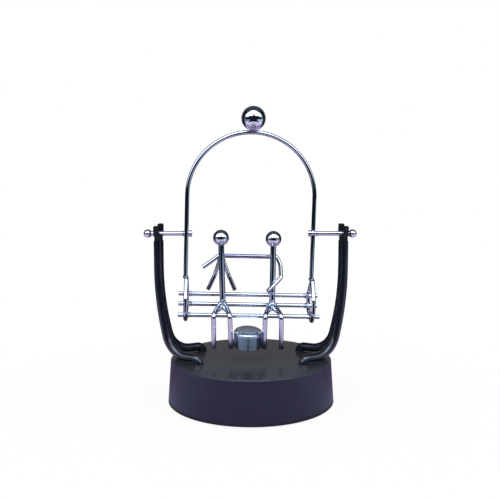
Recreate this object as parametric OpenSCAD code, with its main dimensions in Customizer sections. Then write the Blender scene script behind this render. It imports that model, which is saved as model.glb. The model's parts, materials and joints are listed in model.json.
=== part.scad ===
// Swing toy that never seems to stop: two wire figures on a bench that hangs in an arch.
// A battery in the drum feeds a coil under its top, which pushes the magnet between the figures' shins.
// X runs along the axle, -Y is the front, Z = 0 is the surface that the feet stand on.

/* [Base] */
// Diameter of the base at its bottom rim
base_d = 120; // [108:1:132]
// How much smaller the base's radius is at the top
side_taper = 2.1; // [0:0.1:3]
// Height of the base from its rim to its top face
base_h = 30.5; // [28:0.5:40]
// Thickness of the base's side wall
base_wall = 2.2; // [1.6:0.1:3]
// Thickness of the base's top
top_wall = 2.6; // [2.2:0.1:2.8]
// Radius of the edge round the top face
edge_r = 0.9; // [0.4:0.1:1.4]
// Diameter of a rubber foot
foot_d = 10; // [6:0.5:12]
// How far the feet stand below the rim
foot_proud = 0.8; // [0.4:0.1:2]
// Distance of a foot's centre from the rim
foot_inset = 10; // [9:0.5:11]
// Thickness of the bottom cover
cover_t = 3.2; // [3:0.1:4]
// How far the cover lies above the rim
cover_recess = 0.4; // [0.2:0.1:0.6]

/* [Cells] */
// Diameter of a cell
cell_d = 14.5; // [14:0.1:14.5]
// Length of a cell with its nub
cell_l = 50.5; // [49.5:0.1:50.5]
// Thickness of the tray's walls
tray_wall = 1.5; // [1.2:0.1:1.6]
// Room for the contact spring behind a cell
spring_l = 4.6; // [4:0.1:5.5]
// Thickness of the battery door
door_t = 1.8; // [1.4:0.1:2]
// How far the door slides to open
door_travel = 6; // [4:0.5:7]

/* [Drive] */
// Diameter of the bobbin's flanges
bobbin_d = 25; // [22:0.5:27]
// Room between the cell tray and the coil
coil_room = 1.4; // [1.2:0.1:3]
// Diameter of the iron core
core_d = 6; // [4:0.5:8]
// Length of the circuit board
board_l = 30; // [28:0.5:30]
// Width of the circuit board
board_w = 22; // [20:0.5:23]

/* [Arms] */
// Outside diameter of an arm tube
tube_d = 6.2; // [5.8:0.1:6.8]
// Bore of an arm tube
tube_bore = 4.8; // [4:0.1:4.8]
// Distance from the base's rim to an arm's hole, along the axle
hole_inset = 23.6; // [22:0.2:25]
// Distance from the axle to an arm's hole, as a share of the base's diameter
hole_share = 0.155; // [0.15:0.001:0.16]
// How far a fork stands outside its arms' holes
arm_spread = 29.6; // [28:0.2:33]
// Radius of the low bend
low_bend_r = 17.4; // [14:0.2:17.4]
// Radius of the long upper bend
high_bend_r = 190; // [150:5:190]
// Slope of the tube between its bends, from upright
tube_slope = 14.5; // [13:0.1:15]
// Height of the upper bend's corner above the top face
bend_corner_h = 42; // [40.6:0.2:48]

/* [Swing] */
// Height of the axle above the base's top face
axle_rise = 90.2; // [89.2:0.2:100]
// Diameter of the axle stubs
axle_d = 3.2; // [2.8:0.1:3.6]
// Diameter of the ball on an axle's outer end
axle_ball_d = 6; // [5:0.2:7]
// Gap between a fork and the ball outside it, with the swing in the middle
end_play = 0.9; // [0.9:0.1:1.4]
// How far the swing has slid to the left in its forks
swing_slide = 0.6; // [0:0.1:0.6]
// Diameter of the arch wire
arch_d = 3; // [2.6:0.1:3.4]
// Radius of the arch's round top, to the middle of the wire
arch_r = 45.3; // [42:0.1:48]
// Height of the arch's top above the axle, to the middle of the wire
arch_top = 71.4; // [66:0.2:71.4]
// How far the arch's legs reach below the axle
arch_drop = 31.4; // [29:0.2:34]
// Diameter of the ball on the arch
finial_d = 17.2; // [14:0.2:17.2]
// How far the ball is sunk onto the wire
finial_sink = 0.4; // [0.2:0.1:1.2]
// How far the swing hangs out of square, in degrees
swing_lean = 1.7; // [0:0.1:2.5]

/* [Bench] */
// Diameter of the bench's rods and side wires
bench_d = 3; // [2.6:0.1:3.2]
// Length of the bench's rods
rod_l = 102; // [100:0.5:106]
// Drop from the axle to the upper back rod
back_drop = 45.9; // [45:0.1:47]
// Drop from the axle to the lower back rod
low_drop = 53.3; // [51.5:0.1:54]
// Distance from the hips forward to the seat rod
seat_reach = 8.9; // [8:0.1:10]
// Angle by which the side frames open towards the front
splay = 1.5; // [0:0.5:7]
// How far the bench is set to the right of the arch's middle
bench_slide = 0.7; // [0:0.1:1]

/* [Figures] */
// Diameter of a head
head_d = 11.5; // [10:0.1:13]
// Drop from the axle to the middle of the heads
head_drop = 3.9; // [2:0.1:8]
// Diameter of a torso
torso_d = 4.2; // [3.6:0.1:4.6]
// Diameter of the leg wires
leg_d = 3.4; // [3:0.1:3.6]
// Diameter of the arm and plait wires
arm_d = 3; // [2.6:0.1:3]
// Drop from the axle to the hips
hip_drop = 51.7; // [51:0.1:53]
// Distance of the torsos behind the axle
hip_back = 5.5; // [4.8:0.1:6.2]
// Distance of the knees in front of the axle
knee_front = 8.8; // [8:0.2:10]
// How far the knees are below the hips
thigh_fall = 6.1; // [5:0.1:7]
// Distance between a figure's two knees
knee_gap = 11.5; // [11:0.1:14]
// How much wider than the knees its two feet stand
feet_spread = 0.7; // [0:0.1:1.5]
// How far out of line the left figure's knees are
left_knees_out = 1.4; // [0:0.1:1.6]
// Length of a shin
shin_l = 24; // [22:0.1:26]
// Angle by which the shins swing back under the seat
shin_tilt = 1.5; // [0:0.5:5]
// How far the left torso leans outwards, in degrees
left_torso_lean = 3; // [0:0.5:3]
// How far the right torso leans inwards, in degrees
right_torso_lean = 0.7; // [0:0.1:2]

/* [Magnet] */
// Outside diameter of the magnet's can
can_d = 20.4; // [18:0.2:22]
// Height of the can
can_h = 12.2; // [10:0.2:13]
// Wall of the can
can_wall = 1; // [0.6:0.1:1.2]
// Radius of the can's upper edge
can_round = 2.6; // [1.4:0.1:3]
// Distance from the knees down the shins to the middle of the can
can_drop = 16.1; // [15:0.1:17]
// Angle by which the can's top leans to the front
can_tilt = 9; // [0:0.5:10]

/* [Hidden] */
$fn = 64;

// Play between pieces: a weld or rest, a push fit, a running fit, a loose fit
touch = 0.05;
push_fit = 0.04;
run_fit = 0.08;
loose_fit = 0.3;
// A cut reaches this far past the face that it opens
past = 1;
// A wire's bends are this much thicker, and its straights reach this far into them
bend_swell = 0.02;
bend_lap = 0.1;

// Heights of the base
rim_z = foot_proud;
top_z = rim_z + base_h;
ceiling_z = top_z - top_wall;
top_r = base_d / 2 - side_taper;
side_angle = atan(side_taper / base_h);
edge_steps = 6;

// Bottom cover, feet and cover screws
cover_z = rim_z + cover_recess;
cover_top = cover_z + cover_t;
cover_r = base_d / 2 - base_wall - side_taper * (cover_t + cover_recess) / base_h - loose_fit / 2;
foot_r = base_d / 2 - foot_inset;
foot_pocket = 1;
foot_h = cover_z + foot_pocket - touch;
foot_edge = 0.5;
screw_inset = 10.5;
screw_r = base_d / 2 - screw_inset;
screw_turn = 32;
screw_d = 2.6;
screw_l = 9;
screw_head_d = 5;
screw_head_h = 1.5;
hole_play = 0.4;
boss_d = 7;
rib_t = 2;
pilot_deep = 10;

// Cells and their tray; every second cell points the other way
cell_pitch = cell_d + 0.5;
cell_count = 4;
outer_x = cell_pitch * (cell_count - 1) / 2;
cell_foot = 0.4;
cell_shoulder = 0.8;
nub_d = 5.5;
nub_l = 1.3;
strip_t = 0.4;
strip_w = 9;
strip_h = 10;
tab_w = 2.8;
tab_down = 1.8;
tab_out = 2.4;
tab_play = 0.2;
tray_x = cell_pitch * cell_count / 2 + 0.4;
tray_y = (cell_l + spring_l) / 2 + strip_t + touch;
door_ledge = 2;
door_w = 2 * (tray_x + door_ledge);
door_l = 2 * (tray_y + door_ledge);
door_z = cover_z;
door_top = door_z + door_t;
cell_rise = 0.4;
cell_z = door_top + cell_rise + cell_d / 2;
tray_roof_z = cell_z + cell_d / 2 + loose_fit;
tray_top = tray_roof_z + tray_wall;
hook_t = 1.2;
hook_w = 4;
hook_lip = 1.4;
hook_y = 18;
hook_base = cover_top + loose_fit;
grip_ribs = 4;
grip_pitch = 2.4;
grip_w = 18;
grip_deep = 0.5;

// Drive coil
core_z = tray_top + coil_room + touch;
bobbin_h = ceiling_z - touch - core_z;
core_socket = 1;
flange_t = 1;
hub_d = core_d + 3;
winding_d = bobbin_d - 2.4;
ring_wall = 1.4;
ring_h = 4.5;

// Circuit board
lead_d = 1.2;
board_gap = 4.2;
board_x = (bobbin_d + board_l) / 2 + run_fit + ring_wall + board_gap;
board_t = 1.6;
board_z = tray_top + lead_d + 2 * loose_fit;
board_top = board_z + board_t;
parts_h = ceiling_z - board_top - loose_fit;
post_d = 5;
post_in = 3;
post_spots = [
    [board_x - board_l / 2 + post_in, board_w / 2 - post_in],
    [board_x + board_l / 2 - post_in, post_in - board_w / 2],
];
board_screw_d = 2;
board_screw_bite = 3.9;
board_screw_l = board_t + board_screw_bite;
board_pilot_deep = 5;
pin_d = 0.6;
pin_hole_d = pin_d + 0.2;
pin_below = 0.6;
resistor_pins = 9;
resistor_d = 2.4;
resistor_l = 6;
resistor_z = 1.3;
resistor_out = 1;
resistor_spots = [for (y = [-3.4, -7]) [board_x + resistor_out, y]];
transistor_d = 4.6;
transistor_flat = 1.3;
transistor_z = 1;
transistor_play = 0.6;
transistor_in = 8;
transistor_pitch = 1.5;
transistor_at = [board_x - transistor_in, -transistor_pitch];
capacitor_d = 5;
capacitor_z = 0.2;
capacitor_out = 6;
capacitor_pitch = 2;
capacitor_at = [board_x + capacitor_out, 2 * capacitor_pitch];

// Arm tubes and forks
hole_x = base_d / 2 - hole_inset;
hole_y = base_d * hole_share;
fork_x = hole_x + arm_spread;
arm_pitch = tube_d + 0.1;
elbow_r = 4.2;
run_z = top_z + tube_d / 2 + 0.55;
tube_foot_z = ceiling_z - 4.5;
axle_z = top_z + axle_rise;
tube_top_z = axle_z - 5;
clip_d = tube_d + 3.6;
clip_t = 0.5;
clip_notches = 6;
clip_notch_w = 1;
clip_notch_deep = 1;
shank_d = tube_bore - 2 * push_fit;
shank_l = 8;
finger_w = 4;
finger_shift = 1.1;
finger_round = 0.8;
front_finger_h = 5.6;
rear_finger_h = 6.9;
saddle_r = axle_d / 2 + run_fit;
saddle_w = 4.8;

// Axle stubs
ball_x = fork_x + finger_shift + finger_w / 2 + end_play + axle_ball_d / 2;
ball_socket = axle_ball_d * 0.4;
collar_d = axle_d + 1.4;
collar_l = 1.8;
stub_out = 0.2;
swing_turn = asin(((arch_d + axle_d) / 2 + touch) / arch_r);
collar_x = arch_r * cos(swing_turn) - arch_d / 2 - collar_l - 0.2;

// Arch and finial, in the swing's own frame: its origin is the middle of the axle
arch_z = arch_top - arch_r;
finial_z = arch_top + arch_d / 2 + finial_d / 2 - finial_sink;

// Figures: hips, knees, feet and the magnet
shin_x = (can_d + leg_d) / 2 + touch;
figure_x = shin_x + knee_gap / 2 + feet_spread / 2;
knee_z = -hip_drop - thigh_fall;
shin_dir = [0, sin(shin_tilt), -cos(shin_tilt)];
knee_r = 3.4;
crotch_r = leg_d / 2 + 0.25;
// The wire's bend at the hips has its crown there, so its corner lies on the thighs' line behind them
thigh = [0, hip_back + knee_front, thigh_fall];
crown = norm(thigh) - crotch_r;
squeeze = pow(crotch_r / (knee_gap / 2), 2);
crotch_reach = (crown + sqrt(crown * crown - (1 - squeeze) * (crown * crown - crotch_r * crotch_r)))
    / (1 - squeeze);
crotch = [0, -knee_front, knee_z] + unit(thigh) * crotch_reach;
torso_z = -hip_drop + leg_d / 2 + touch;
head_socket = 2.5;
neck_z = -head_drop - head_d / 2 + head_socket;
can_mid = [0, -knee_front, knee_z] + shin_dir * can_drop;
can_edge = 0.3;
disc_sunk = 1;

// Bench rods: two behind the torsos, one under the thighs
back_y = hip_back + (torso_d + bench_d) / 2 + touch;
seat_y = hip_back - seat_reach;
thigh_slope = atan(thigh[2] / thigh[1]);
seat_z = -hip_drop - seat_reach * tan(thigh_slope) - ((leg_d + bench_d) / 2 + touch) / cos(thigh_slope);
nest_r = bench_d + touch;
bead_d = arch_d + 0.8;
apex_z = -arch_drop - touch - bench_d / 2 - nest_r;
front_post_y = seat_y - 2.7;
side_ring = [
    [0, apex_z],
    [back_y, -back_drop],
    [back_y, -low_drop],
    [seat_y, seat_z],
    [front_post_y, seat_z + 3.2],
    [front_post_y, -back_drop - 1.4],
];

// Arms: one wire from the left hand over both backs to the right hand
arms_y = hip_back + (torso_d + arm_d) / 2 + touch;
shoulder_z = -17.5;
hand_y = hip_back - 7.7;
arm_points = [
    [-33.2, arms_y - 2, -26],
    [-21.5, arms_y, shoulder_z],
    [20.9, arms_y, shoulder_z],
    [23.3, arms_y - 1.6, shoulder_z - 5.4],
    [23.9, arms_y - 3.9, -32.2],
    [13.7, hand_y, -41.2],
];
arm_bends = [3, 2.6, 5, 2.4];
// Plaits of the left figure: two bent wires, welded together behind the arms
plaits_y = arms_y + arm_d + touch;
plait_top = [-19.8, plaits_y, -17.2];
plait_points = [
    [plait_top, [-23.9, plaits_y, -31.4], [-29, plaits_y - 1, -43]],
    [plait_top, [-14.1, plaits_y, -31.9], [-9.1, plaits_y - 1, -43]],
];
plait_bend = 2.4;

// Colours
black = "#1c1c1e";
chrome = "#c9ccd2";
nickel = "#b9bab5";

function unit(v) = v / norm(v);
function turning(u, v) = acos(max(-1, min(1, u * v)));
function across(w) = unit(cross(abs(w[2]) < 0.9 ? [0, 0, 1] : [0, 1, 0], w));
function arc_points(mid, r, from, to, steps) =
    [for (i = [0:steps]) let (angle = from + (to - from) * i / steps) mid + r * [cos(angle), sin(angle)]];

// A frame at point o whose axes are x, y and z
module in_frame(o, x, y, z) {
    multmatrix([
        [x[0], y[0], z[0], o[0]],
        [x[1], y[1], z[1], o[1]],
        [x[2], y[2], z[2], o[2]],
        [0, 0, 0, 1],
    ]) children();
}

// A round bar from point a to point b
module bar(a, b, d) {
    w = unit(b - a);
    in_frame(a, across(w), cross(w, across(w)), w) cylinder(d = d, h = norm(b - a));
}

// The bend of a wire at corner p, from direction u to direction v
module bend(p, u, v, r, d) {
    n = unit(cross(u, v));
    mid = p - u * r * tan(turning(u, v) / 2) + cross(n, u) * r;
    in_frame(mid, cross(u, n), u, n)
        rotate_extrude(angle = turning(u, v)) translate([r, 0]) circle(d = d + bend_swell);
}

// A wire along the points, with a bend of its own radius at each inner corner
module bent_wire(points, radii, d) {
    last = len(points) - 1;
    dirs = [for (i = [0:last - 1]) unit(points[i + 1] - points[i])];
    cuts = [for (i = [0:last])
        i == 0 || i == last ? 0 : radii[i - 1] * tan(turning(dirs[i - 1], dirs[i]) / 2) - bend_lap];
    for (i = [0:last - 1])
        bar(points[i] + dirs[i] * cuts[i], points[i + 1] - dirs[i] * cuts[i + 1], d);
    for (i = [1:last - 1])
        bend(points[i], dirs[i - 1], dirs[i], radii[i - 1], d);
}

// A closed ring of wire round the given centres, with one bend radius
module wire_ring(centres, r, d) {
    count = len(centres);
    dirs = [for (i = [0:count - 1]) unit(centres[(i + 1) % count] - centres[i])];
    outs = [for (v = dirs) cross([1, 0, 0], v)];
    for (i = [0:count - 1]) {
        j = (i + 1) % count;
        lap = dirs[i] * bend_lap;
        bar(centres[i] + outs[i] * r - lap, centres[j] + outs[i] * r + lap, d);
        in_frame(centres[j], outs[i], dirs[i], unit(cross(dirs[i], dirs[j])))
            rotate_extrude(angle = turning(dirs[i], dirs[j])) translate([r, 0]) circle(d = d + bend_swell);
    }
}

// The swing's own frame: on the axle, turned so that one leg passes before its stub and one behind
module on_swing() {
    translate([-swing_slide, 0, axle_z]) rotate([0, swing_lean, 0]) rotate([0, 0, swing_turn]) children();
}

// The frame of the right axle stub, or its mirror image on the left
module on_axle(side) {
    translate([-swing_slide, 0, axle_z]) mirror([side < 0 ? 1 : 0, 0, 0]) children();
}

module at_feet() {
    for (angle = [0:90:270]) rotate([0, 0, angle]) translate([foot_r, 0, 0]) children();
}

// The cover screws stand between the arms' holes and the rim
module at_cover_screws() {
    for (angle = [screw_turn, 180 - screw_turn, 180 + screw_turn, -screw_turn])
        rotate([0, 0, angle]) translate([screw_r, 0, 0]) children();
}

module ring(outer_d, inner_d, h) {
    difference() {
        cylinder(d = outer_d, h = h);
        translate([0, 0, -past]) cylinder(d = inner_d, h = h + 2 * past);
    }
}

module block(low, high) {
    translate(low) cube(high - low);
}

// What the housing is hollowed out by: it leaves the bosses, ribs, ring and posts standing
module housing_hollow() {
    difference() {
        rotate_extrude($fn = 128) polygon([
            [0, rim_z - past],
            [base_d / 2 - base_wall + side_taper * past / base_h, rim_z - past],
            [top_r - base_wall + side_taper * top_wall / base_h, ceiling_z],
            [0, ceiling_z],
        ]);
        at_cover_screws() {
            translate([0, 0, cover_top + touch]) cylinder(d = boss_d, h = base_h);
            block([0, -rib_t / 2, cover_top + touch], [base_d / 2, rib_t / 2, top_z]);
        }
        translate([0, 0, ceiling_z - ring_h])
            ring(bobbin_d + 2 * (run_fit + ring_wall), bobbin_d + 2 * run_fit, base_h);
        for (p = post_spots)
            translate([p[0], p[1], board_top + touch]) cylinder(d = post_d, h = base_h);
    }
}

module base_housing() {
    edge_mid = [top_r - edge_r * (1 - sin(side_angle)) / cos(side_angle), top_z - edge_r];
    color(black) difference() {
        rotate_extrude($fn = 128) polygon(concat(
            [[0, rim_z], [base_d / 2, rim_z]],
            arc_points(edge_mid, edge_r, side_angle, 90, edge_steps),
            [[0, top_z]]));
        housing_hollow();
        at_cover_screws()
            translate([0, 0, cover_top]) cylinder(d = screw_d + 2 * push_fit, h = pilot_deep);
        for (x = [-hole_x, hole_x], y = [-hole_y, hole_y])
            translate([x, y, ceiling_z - past]) cylinder(d = tube_d + 2 * run_fit, h = top_wall + 2 * past);
        translate([0, 0, ceiling_z - past]) cylinder(d = core_d + 2 * push_fit, h = core_socket + past);
        for (p = post_spots)
            translate([p[0], p[1], board_z])
                cylinder(d = board_screw_d + 2 * push_fit, h = board_t + board_pilot_deep);
    }
}

module bottom_cover() {
    color(black) difference() {
        union() {
            translate([0, 0, cover_z]) cylinder(r = cover_r, h = cover_t, $fn = 128);
            block([-tray_x - tray_wall, -tray_y - tray_wall, cover_z],
                [tray_x + tray_wall, tray_y + tray_wall, tray_top]);
        }
        block([-tray_x, -tray_y, cover_z - past], [tray_x, tray_y, tray_roof_z]);
        // Recess that the door slides in
        block([-door_w / 2 - loose_fit, -door_l / 2 - loose_fit, cover_z - past],
            [door_w / 2 + loose_fit, door_l / 2 + door_travel + loose_fit, door_top + touch]);
        // Windows over the ledge for the door's hooks, and the gates that let them out
        for (side = [-1, 1], y = [-hook_y, hook_y]) {
            low_y = y - hook_w / 2 - loose_fit;
            high_y = y + hook_w / 2 + door_travel + loose_fit;
            mirror([side < 0 ? 1 : 0, 0, 0]) {
                block([tray_x - past, low_y, cover_top],
                    [tray_x + tray_wall + past, high_y, hook_base + hook_t + loose_fit]);
                block([tray_x - past, low_y + door_travel, door_top],
                    [tray_x + hook_lip + loose_fit, high_y, cover_top + touch]);
            }
        }
        at_feet() translate([0, 0, cover_z - past])
            cylinder(d = foot_d + 2 * push_fit, h = foot_pocket + past);
        at_cover_screws() translate([0, 0, cover_z - past]) {
            cylinder(d = screw_d + hole_play, h = cover_t + 2 * past);
            cylinder(d = screw_head_d + hole_play, h = screw_head_h + 2 * touch + past);
        }
        // Slots for the solder tabs of the two outer contacts
        for (side = [-1, 1])
            translate([side * outer_x, tray_y, cell_z + strip_h / 2 - tab_down])
                block([-tab_w / 2 - tab_play, -past, -tab_play],
                    [tab_w / 2 + tab_play, tray_wall + past, strip_t + tab_play]);
    }
}

module battery_door() {
    color(black) {
        difference() {
            block([-door_w / 2, -door_l / 2, door_z], [door_w / 2, door_l / 2, door_top]);
            // Grooves for the thumb
            for (i = [1:grip_ribs])
                translate([0, door_l / 2 - grip_pitch * i, door_z])
                    block([-grip_w / 2, -grip_pitch / 2, -past], [grip_w / 2, 0, grip_deep]);
        }
        for (side = [0, 1], y = [-hook_y, hook_y])
            mirror([side, 0, 0]) {
                block([tray_x - loose_fit - hook_t, y - hook_w / 2, door_top - touch],
                    [tray_x - loose_fit, y + hook_w / 2, hook_base + hook_t]);
                block([tray_x - loose_fit - hook_t, y - hook_w / 2, hook_base],
                    [tray_x + hook_lip - loose_fit, y + hook_w / 2, hook_base + hook_t]);
            }
    }
}

module foot(angle) {
    color("#26262a") rotate([0, 0, angle]) translate([foot_r, 0, 0]) {
        translate([0, 0, foot_edge]) cylinder(d = foot_d, h = foot_h - foot_edge);
        cylinder(d1 = foot_d - 2 * foot_edge, d2 = foot_d, h = foot_edge);
    }
}

// The frame of cell i, counted from the left: its spring starts at the origin and the cell points along +Z
module at_cell(i) {
    way = i % 2 == 1 ? 1 : -1;
    translate([(i - (cell_count + 1) / 2) * cell_pitch, -way * (cell_l + spring_l) / 2, cell_z])
        rotate([-90 * way, 0, 0]) children();
}

module cell(i) {
    body_l = cell_l - nub_l - cell_foot - cell_shoulder;
    color("#7a8a96") at_cell(i) translate([0, 0, spring_l]) {
        cylinder(d = cell_d - 0.6, h = cell_foot);
        translate([0, 0, cell_foot]) cylinder(d = cell_d, h = body_l);
        translate([0, 0, cell_foot + body_l]) cylinder(d = cell_d - 1.4, h = cell_shoulder);
        translate([0, 0, cell_l - nub_l]) cylinder(d = nub_d, h = nub_l - touch);
    }
}

// Contact strips: one at each outer cell and one across each pair of neighbours
module contact_strips() {
    end = tray_y - touch;
    low = cell_z - strip_h / 2;
    high = cell_z + strip_h / 2;
    bridge = (cell_pitch + strip_w) / 2;
    color(nickel) {
        for (side = [-1, 1]) {
            translate([side * outer_x, 0, 0]) {
                block([-strip_w / 2, end - strip_t, low], [strip_w / 2, end, high]);
                block([-tab_w / 2, end - strip_t, high - tab_down],
                    [tab_w / 2, tray_y + tray_wall + tab_out, high - tab_down + strip_t]);
            }
            translate([side * cell_pitch, 0, 0])
                block([-bridge, -end, low], [bridge, -end + strip_t, high]);
        }
        block([-bridge, end - strip_t, low], [bridge, end, high]);
    }
}

// A conical spring along +Z, swept as a closed tube of wire
module contact_spring() {
    turns = 3;
    rings_per_turn = 12;
    sides = 6;
    wire = 0.7;
    big_r = 4;
    small_r = 2.6;
    count = turns * rings_per_turn;
    height = spring_l - wire - 2 * touch;
    function share(i) = i / count;
    function reach(i) = big_r + (small_r - big_r) * share(i);
    function spot(i) = [
        reach(i) * cos(360 * turns * share(i)),
        reach(i) * sin(360 * turns * share(i)),
        touch + wire / 2 + height * share(i),
    ];
    function round_wire(i, a) =
        let (out = [cos(360 * turns * share(i)), sin(360 * turns * share(i)), 0])
        spot(i) + wire / 2 * (cos(a) * out + sin(a) * [0, 0, 1]);
    rings = [for (i = [0:count]) [for (k = [0:sides - 1]) round_wire(i, 360 * k / sides)]];
    polyhedron(
        points = [for (r = rings) each r],
        faces = concat(
            [[for (k = [0:sides - 1]) k]],
            [for (i = [0:count - 1], k = [0:sides - 1])
                let (low = i * sides, high = low + sides, next = (k + 1) % sides)
                [low + k, high + k, high + next, low + next]],
            [[for (k = [0:sides - 1]) count * sides + sides - 1 - k]]));
}

module contact_springs() {
    color(nickel) for (i = [1:cell_count]) at_cell(i) contact_spring();
}

module coil_bobbin() {
    color("#d8d4c8") translate([0, 0, core_z]) {
        ring(bobbin_d, core_d + 2 * push_fit, flange_t);
        ring(hub_d, core_d + 2 * push_fit, bobbin_h);
        translate([0, 0, bobbin_h - flange_t]) ring(bobbin_d, core_d + 2 * push_fit, flange_t);
    }
}

module coil_winding() {
    color("#b5652b") translate([0, 0, core_z + flange_t + touch])
        ring(winding_d, hub_d + 2 * touch, bobbin_h - 2 * (flange_t + touch));
}

module coil_core() {
    color(nickel) translate([0, 0, core_z])
        cylinder(d = core_d, h = bobbin_h + core_socket);
}

module circuit_board() {
    half = [board_l, board_w] / 2;
    pins = concat(
        [for (p = resistor_spots, side = [-0.5, 0.5]) p + [side * resistor_pins, 0]],
        [for (i = [-1:1]) transistor_at + [0, i * transistor_pitch]],
        [for (side = [-0.5, 0.5]) capacitor_at + [side * capacitor_pitch, 0]]);
    color("#2f6b3a") difference() {
        block([board_x - half[0], -half[1], board_z], [board_x + half[0], half[1], board_top]);
        translate([0, 0, board_z - past]) {
            for (p = post_spots)
                translate(p) cylinder(d = board_screw_d + hole_play, h = board_t + 2 * past);
            for (p = pins)
                translate(p) cylinder(d = pin_hole_d, h = board_t + 2 * past);
        }
    }
}

// A straight pin through the board, up to height h above it
module pin(h) {
    translate([0, 0, -board_t - pin_below]) cylinder(d = pin_d, h = board_t + pin_below + h);
}

module transistor() {
    r = transistor_d / 2;
    color("#202022") translate([transistor_at[0], transistor_at[1], board_top]) {
        translate([0, 0, transistor_z]) intersection() {
            cylinder(r = r, h = parts_h - transistor_z - transistor_play);
            block([-r, -r, -past], [transistor_flat, r, parts_h]);
        }
        for (i = [-1:1])
            translate([0, i * transistor_pitch, 0]) pin(transistor_z + loose_fit);
    }
}

module capacitor() {
    color("#27303f") translate([capacitor_at[0], capacitor_at[1], board_top]) {
        translate([0, 0, capacitor_z]) cylinder(d = capacitor_d, h = parts_h - 2 * capacitor_z);
        for (side = [-0.5, 0.5])
            translate([side * capacitor_pitch, 0, 0]) pin(capacitor_z + loose_fit);
    }
}

module resistors() {
    half = resistor_pins / 2;
    low = -board_t - pin_below;
    color("#c9b083") for (p = resistor_spots)
        translate([p[0], p[1], board_top]) {
            bent_wire([[-half, 0, low], [-half, 0, resistor_z], [half, 0, resistor_z], [half, 0, low]],
                [0.8, 0.8], pin_d);
            translate([0, 0, resistor_z]) rotate([0, 90, 0])
                cylinder(d = resistor_d, h = resistor_l, center = true);
        }
}

// A self-tapping screw that points up, its head's underside at the origin; a cross is cut in its head
module screw(d, l, head_d, head_h) {
    arm = head_d * 0.3;
    half = head_d * 0.07;
    difference() {
        union() {
            translate([0, 0, -touch]) cylinder(d = d, h = l + touch);
            translate([0, 0, -head_h]) cylinder(d = head_d, h = head_h);
        }
        for (turn = [0, 90]) rotate([0, 0, turn])
            block([-arm, -half, -head_h - past], [arm, half, -head_h * 0.4]);
    }
}

module board_screws() {
    color(nickel) for (p = post_spots)
        translate([p[0], p[1], board_z - touch])
            screw(board_screw_d, board_screw_l, 2 * board_screw_d, 0.6 * board_screw_d);
}

module cover_screws() {
    color(nickel) at_cover_screws()
        translate([0, 0, cover_z + screw_head_h]) screw(screw_d, screw_l, screw_head_d, screw_head_h);
}

// Push-on washers that hold the arm tubes under the base's top
module tube_clips() {
    color(nickel) for (x = [-hole_x, hole_x], y = [-hole_y, hole_y])
        translate([x, y, ceiling_z - touch - clip_t]) difference() {
            ring(clip_d, tube_d + 2 * push_fit, clip_t);
            for (i = [0:clip_notches - 1]) rotate([0, 0, 360 / clip_notches * i])
                block([0, -clip_notch_w / 2, -past],
                    [tube_d / 2 + clip_notch_deep, clip_notch_w / 2, clip_t + past]);
        }
}

// Leads from the outer contacts over the tray to the circuit board; the left contact is the positive one
module battery_leads() {
    tab_y = tray_y + tray_wall + tab_out / 2;
    tab_z = cell_z + strip_h / 2 - tab_down + strip_t + touch;
    over_z = tray_top + touch + lead_d / 2;
    pad_z = board_z - touch;
    pad_y = board_w / 2 - 2;
    black_x = board_x - 4;
    red_x = black_x - 3.5;
    back_y = (bobbin_d + lead_d) / 2 + 6;
    big = 3;
    small = 1.5;
    last = 0.8 * (pad_z - over_z);
    color("#202022")
        bent_wire([
            [outer_x, tab_y, tab_z],
            [outer_x, tab_y, over_z],
            [outer_x, pad_y + 5, over_z],
            [black_x, pad_y, over_z],
            [black_x, pad_y, pad_z],
        ], [small, small, last], lead_d);
    color("#a03028")
        bent_wire([
            [-outer_x, tab_y, tab_z],
            [-outer_x, tab_y, over_z],
            [-outer_x, back_y + 2, over_z],
            [bobbin_d / 2, back_y, over_z],
            [red_x, pad_y - 0.6, over_z],
            [red_x, pad_y - 0.6, pad_z],
        ], [small, big, big, last], lead_d);
}

module coil_leads() {
    wire = lead_d / 2;
    z = core_z - touch - wire / 2;
    pad_in = 2.5;
    start_x = hub_d / 2 + 1.5;
    end_x = board_x - board_l / 2 + pad_in;
    color("#b5652b") for (y = [2 * pad_in, 2] - [board_w, board_w] / 2)
        bent_wire([[start_x, y / 3, z], [end_x, y, z], [end_x, y, board_z - touch]], [wire], wire);
}

// Corners of an arm tube from inside the base to its top; sx and sy say which corner of the base
function arm_corners(sx, sy, extra) =
    let (dy = hole_y - arm_pitch / 2, reach = norm([arm_spread, dy]))
    let (corner_z = top_z + bend_corner_h, low_s = reach - (corner_z - run_z) * tan(tube_slope))
    let (foot = [0, tube_foot_z - extra], top = [reach, tube_top_z + extra])
    [for (p = [foot, [0, run_z], [low_s, run_z], [reach, corner_z], top])
        [sx * (hole_x + arm_spread * p[0] / reach), sy * (hole_y - dy * p[0] / reach), p[1]]];

module arm_tube(sx, sy) {
    bends = [elbow_r, low_bend_r, high_bend_r];
    color(black) difference() {
        bent_wire(arm_corners(sx, sy, 0), bends, tube_d);
        bent_wire(arm_corners(sx, sy, past), bends, tube_bore);
    }
}

module arm_front_left() arm_tube(-1, -1);
module arm_rear_left() arm_tube(-1, 1);
module arm_front_right() arm_tube(1, -1);
module arm_rear_right() arm_tube(1, 1);

// Outline of a finger seen along Y, standing on Z = low, with rounded top corners
module finger_outline(low, high) {
    half = finger_w / 2;
    polygon(concat(
        [[-half, low], [half, low]],
        arc_points([half - finger_round, high - finger_round], finger_round, 0, 90, edge_steps),
        arc_points([finger_round - half, high - finger_round], finger_round, 90, 180, edge_steps)));
}

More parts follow.
